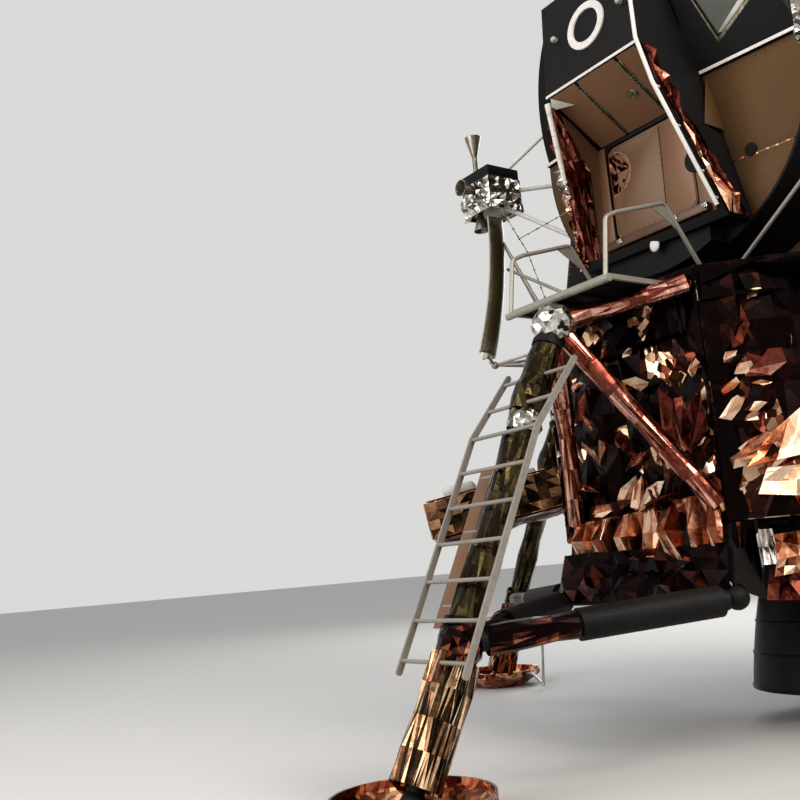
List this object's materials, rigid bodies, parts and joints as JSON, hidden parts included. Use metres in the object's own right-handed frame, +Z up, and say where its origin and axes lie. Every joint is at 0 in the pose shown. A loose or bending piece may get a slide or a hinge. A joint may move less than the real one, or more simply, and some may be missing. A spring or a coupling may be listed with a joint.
{
  "type": "lunar module",
  "caption": "Two-stage lunar landing craft on splayed legs, with ladder, porch, hollow crew cabin, square hatch, dish aerials and a gimballed engine.",
  "frame": {"origin": "on the floor, under the middle of the vehicle", "axes": "+Z up; the crew face forward along -Y, where the ladder and square hatch are; +X is port"},
  "size_m": [9.44, 9.44, 6.98],
  "materials": {
    "amber_foil": "crumpled amber film blanket, mirror bright at its creases",
    "black_foil": "matt black thermal paint on thin sheet, lightly quilted",
    "tan_panel": "tan-grey anodised shield sheet, satin",
    "silver_foil": "crumpled silver foil",
    "grey_tube": "anodised tube, satin",
    "white_paint": "white enamel",
    "olive_sheet": "heat-stained olive-brown sheet",
    "nozzle": "dark columbium coating, matt",
    "thruster": "heat-tinted metal",
    "pane": "tinted coated glass",
    "bare_metal": "machined alloy",
    "pad_foil": "gold film over alloy honeycomb"
  },
  "bodies": {
    "root": {"descent_body": "amber_foil", "base_heat_shield": "black_foil", "descent_deck": "black_foil", "main_struts": "amber_foil", "footpads": "pad_foil", "side_struts": "black_foil", "deployment_trusses": "amber_foil", "truss_blankets": "black_foil", "outriggers": "amber_foil", "surface_probes": "bare_metal", "ladder": "grey_tube", "egress_platform": "grey_tube", "platform_handrails": "grey_tube", "cabin_shell": "black_foil", "front_flank_port": "tan_panel", "front_flank_starboard": "tan_panel", "window_panes": "pane", "nose": "tan_panel", "midsection": "tan_panel", "docking_tunnel": "black_foil", "tank_fairing_port": "tan_panel", "tank_fairing_starboard": "tan_panel", "aft_equipment_bay": "tan_panel", "ascent_skirt": "black_foil", "rcs_clusters": "silver_foil", "rcs_struts": "white_paint", "plume_deflectors": "olive_sheet", "deflector_frames": "grey_tube", "radar_pedestal": "grey_tube", "relay_mast": "grey_tube", "aft_aerials": "white_paint", "nose_handrail": "white_paint", "light_ring": "white_paint"},
    "forward_hatch": {"forward_hatch": "tan_panel"},
    "docking_hatch": {"docking_hatch": "bare_metal"},
    "equipment_pallet": {"equipment_pallet": "amber_foil"},
    "gimbal_ring": {"gimbal_ring": "bare_metal"},
    "descent_engine": {"descent_engine": "nozzle"},
    "radar_fork": {"radar_fork": "bare_metal"},
    "radar_dish": {"radar_dish": "white_paint"},
    "relay_fork": {"relay_fork": "bare_metal"},
    "relay_dish": {"relay_dish": "white_paint"}
  },
  "joints": [
    {"name": "forward_hatch_hinge", "type": "hinge", "parent": "root", "child": "forward_hatch", "pos_m": [-0.4245, -1.438, 4.217], "axis": [0, 0, 1], "range_deg": [0, 85]},
    {"name": "docking_hatch_hinge", "type": "hinge", "parent": "root", "child": "docking_hatch", "pos_m": [0, 0.425, 5.77], "axis": [1, 0, 0], "range_deg": [0, 85]},
    {"name": "equipment_pallet_hinge", "type": "hinge", "parent": "root", "child": "equipment_pallet", "pos_m": [-1.40811, -1.40811, 1.8], "axis": [0.7071, -0.7071, 0], "range_deg": [-100, 0]},
    {"name": "engine_pitch", "type": "hinge", "parent": "root", "child": "gimbal_ring", "pos_m": [0, 0, 2.22], "axis": [1, 0, 0], "range_deg": [-6, 6]},
    {"name": "engine_roll", "type": "hinge", "parent": "gimbal_ring", "child": "descent_engine", "pos_m": [0, 0, 2.22], "axis": [0, 1, 0], "range_deg": [-6, 6]},
    {"name": "radar_turn", "type": "hinge", "parent": "root", "child": "radar_fork", "pos_m": [0, -1.8, 6.56], "axis": [0, 0, 1], "range_deg": [-55, 55]},
    {"name": "radar_tilt", "type": "hinge", "parent": "radar_fork", "child": "radar_dish", "pos_m": [0, -1.8, 6.56], "axis": [1, 0, 0], "range_deg": [-40, 70]},
    {"name": "relay_turn", "type": "hinge", "parent": "root", "child": "relay_fork", "pos_m": [-1.62, -0.25, 6.25], "axis": [0, 0, 1], "range_deg": [-170, 170]},
    {"name": "relay_tilt", "type": "hinge", "parent": "relay_fork", "child": "relay_dish", "pos_m": [-1.62, -0.25, 6.25], "axis": [1, 0, 0], "range_deg": [-50, 45]}
  ]
}
